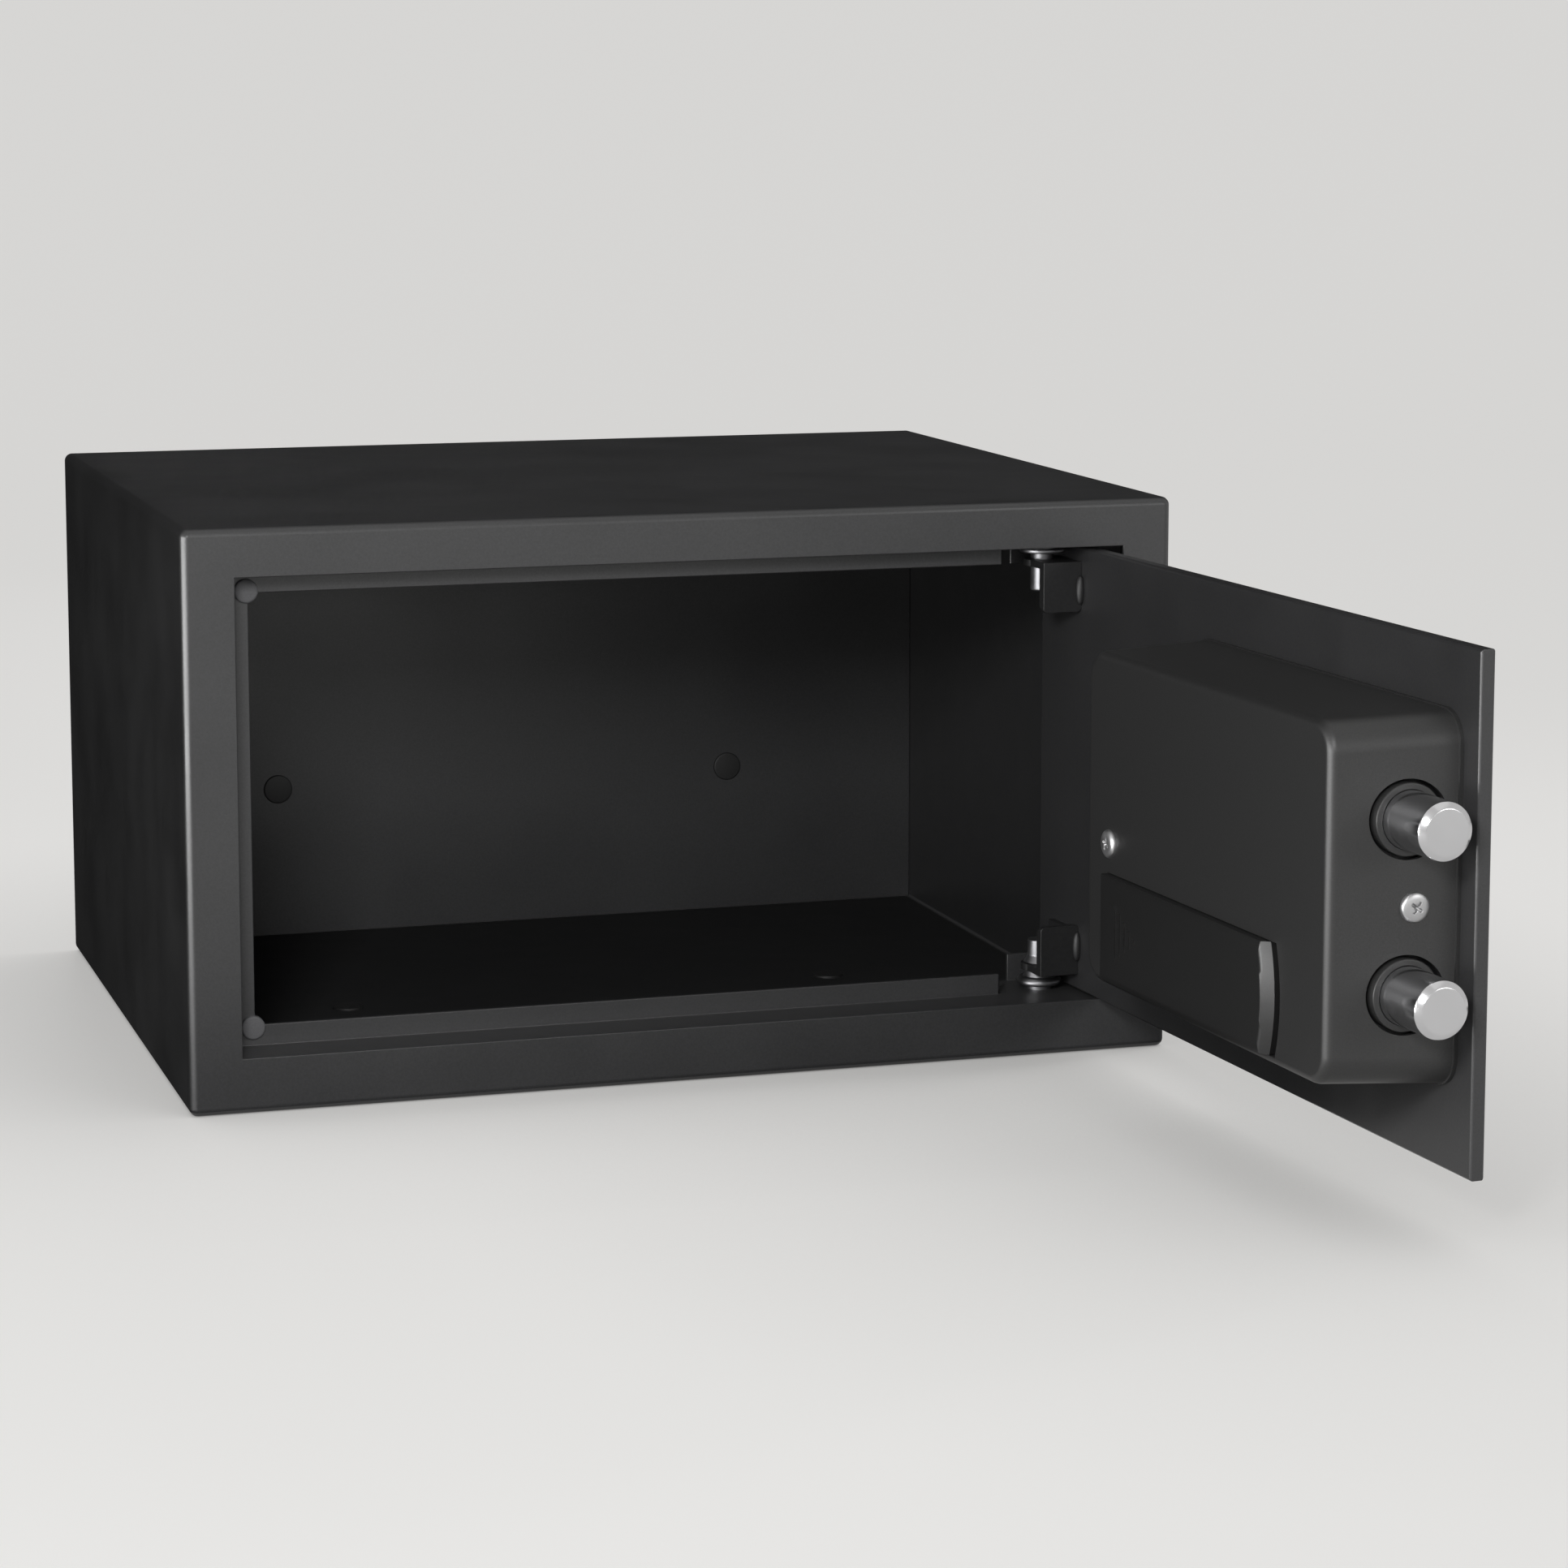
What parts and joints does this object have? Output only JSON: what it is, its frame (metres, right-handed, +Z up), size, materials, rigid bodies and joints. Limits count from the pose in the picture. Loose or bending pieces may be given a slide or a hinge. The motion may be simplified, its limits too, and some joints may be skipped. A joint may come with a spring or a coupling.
{
  "type": "electronic safe",
  "caption": "Low wide steel safe with a recessed swing door on pin hinges, round bolts under a moulded lock cover, knob, keypad and key lock outside",
  "frame": {"origin": "centre of the cabinet's underside", "axes": "+X to the hinge side as the door is faced, +Y from the front to the back, +Z up"},
  "size_m": [0.4499, 0.6874, 0.243],
  "materials": {
    "painted_steel": "charcoal black fine-textured powder coat on folded steel sheet",
    "rubber": "dark grey moulded rubber",
    "chrome": "bright nickel or chrome plating on turned steel",
    "zinc_steel": "zinc-plated steel",
    "cover_plastic": "black fine-textured moulded plastic",
    "bush_plastic": "dark grey moulded nylon",
    "cell_jacket": "shrunk plastic jacket, plain",
    "board_laminate": "green glass-fibre circuit laminate",
    "ribbon_jacket": "grey ribbon cable jacket",
    "button_rubber": "satin grey moulded silicone buttons",
    "lamp_lens": "clear pale plastic lamp lenses"
  },
  "bodies": {
    "cabinet": {"body_shell": "painted_steel", "back_panel": "painted_steel", "door_jamb": "painted_steel", "hinge_stiffeners": "painted_steel", "corner_bumpers": "rubber", "hinge_pin_lower": "chrome", "hinge_pin_upper": "chrome"},
    "door": {"door_plate": "painted_steel", "hinge_bracket_lower": "painted_steel", "hinge_bracket_upper": "painted_steel", "lock_cover": "cover_plastic", "lock_chassis": "painted_steel", "bolt_bushes": "bush_plastic", "guide_stud": "zinc_steel", "cover_posts": "zinc_steel", "cover_screws": "chrome", "battery_tray": "cover_plastic", "battery_cells": "cell_jacket", "battery_contacts": "zinc_steel", "circuit_board": "board_laminate", "board_standoffs": "zinc_steel", "solenoid_body": "zinc_steel", "keypad_housing": "cover_plastic", "keypad_board": "board_laminate", "keypad_cable": "ribbon_jacket", "led_lenses": "lamp_lens", "key_cylinder": "chrome"},
    "boltwork": {"bolt_carriage": "zinc_steel", "bolt_upper": "chrome", "bolt_lower": "chrome"},
    "knob": {"knob_grip": "cover_plastic", "knob_spindle": "chrome"},
    "plunger": {"solenoid_plunger": "zinc_steel"},
    "lid": {"battery_lid": "cover_plastic"},
    "key": {"key_plug": "zinc_steel", "key_cam": "zinc_steel"},
    "key_1": {"button_1": "button_rubber"},
    "key_2": {"button_2": "button_rubber"},
    "key_3": {"button_3": "button_rubber"},
    "key_4": {"button_4": "button_rubber"},
    "key_5": {"button_5": "button_rubber"},
    "key_6": {"button_6": "button_rubber"},
    "key_7": {"button_7": "button_rubber"},
    "key_8": {"button_8": "button_rubber"},
    "key_9": {"button_9": "button_rubber"},
    "key_star": {"button_star": "button_rubber"},
    "key_0": {"button_0": "button_rubber"},
    "key_hash": {"button_hash": "button_rubber"}
  },
  "joints": [
    {"name": "door_swing", "type": "hinge", "parent": "cabinet", "child": "door", "pos_m": [0.167, -0.1425, 0.12], "axis": [0, 0, 1], "range_deg": [-93.5, 6.5]},
    {"name": "bolts_slide", "type": "slide", "parent": "door", "child": "boltwork", "axis": [-0.061, 0.9981, 0], "range_m": [0, 0.025]},
    {"name": "knob_turn", "type": "hinge", "parent": "door", "child": "knob", "pos_m": [0.20994, -0.40236, 0.1255], "axis": [0.9981, 0.061, 0], "range_deg": [0, 90]},
    {"name": "plunger_slide", "type": "slide", "parent": "door", "child": "plunger", "axis": [0, 0, 1], "range_m": [-0.0055, 0]},
    {"name": "lid_slide", "type": "slide", "parent": "door", "child": "lid", "axis": [0.061, -0.9981, 0], "range_m": [0, 0.004]},
    {"name": "key_turn", "type": "hinge", "parent": "door", "child": "key", "pos_m": [0.20659, -0.34747, 0.09], "axis": [0.9981, 0.061, 0], "range_deg": [-90, 0]},
    {"name": "press_1", "type": "slide", "parent": "door", "child": "key_1", "axis": [-0.9981, -0.061, 0], "range_m": [0, 0.001], "stiffness_N_per_m": 800, "springref_m": -0.0003},
    {"name": "press_2", "type": "slide", "parent": "door", "child": "key_2", "axis": [-0.9981, -0.061, 0], "range_m": [0, 0.001], "stiffness_N_per_m": 800, "springref_m": -0.0003},
    {"name": "press_3", "type": "slide", "parent": "door", "child": "key_3", "axis": [-0.9981, -0.061, 0], "range_m": [0, 0.001], "stiffness_N_per_m": 800, "springref_m": -0.0003},
    {"name": "press_4", "type": "slide", "parent": "door", "child": "key_4", "axis": [-0.9981, -0.061, 0], "range_m": [0, 0.001], "stiffness_N_per_m": 800, "springref_m": -0.0003},
    {"name": "press_5", "type": "slide", "parent": "door", "child": "key_5", "axis": [-0.9981, -0.061, 0], "range_m": [0, 0.001], "stiffness_N_per_m": 800, "springref_m": -0.0003},
    {"name": "press_6", "type": "slide", "parent": "door", "child": "key_6", "axis": [-0.9981, -0.061, 0], "range_m": [0, 0.001], "stiffness_N_per_m": 800, "springref_m": -0.0003},
    {"name": "press_7", "type": "slide", "parent": "door", "child": "key_7", "axis": [-0.9981, -0.061, 0], "range_m": [0, 0.001], "stiffness_N_per_m": 800, "springref_m": -0.0003},
    {"name": "press_8", "type": "slide", "parent": "door", "child": "key_8", "axis": [-0.9981, -0.061, 0], "range_m": [0, 0.001], "stiffness_N_per_m": 800, "springref_m": -0.0003},
    {"name": "press_9", "type": "slide", "parent": "door", "child": "key_9", "axis": [-0.9981, -0.061, 0], "range_m": [0, 0.001], "stiffness_N_per_m": 800, "springref_m": -0.0003},
    {"name": "press_star", "type": "slide", "parent": "door", "child": "key_star", "axis": [-0.9981, -0.061, 0], "range_m": [0, 0.001], "stiffness_N_per_m": 800, "springref_m": -0.0003},
    {"name": "press_0", "type": "slide", "parent": "door", "child": "key_0", "axis": [-0.9981, -0.061, 0], "range_m": [0, 0.001], "stiffness_N_per_m": 800, "springref_m": -0.0003},
    {"name": "press_hash", "type": "slide", "parent": "door", "child": "key_hash", "axis": [-0.9981, -0.061, 0], "range_m": [0, 0.001], "stiffness_N_per_m": 800, "springref_m": -0.0003}
  ],
  "couplings": [
    {"joint": "knob_turn", "follows": "bolts_slide", "rad_per_m": 62.832}
  ]
}
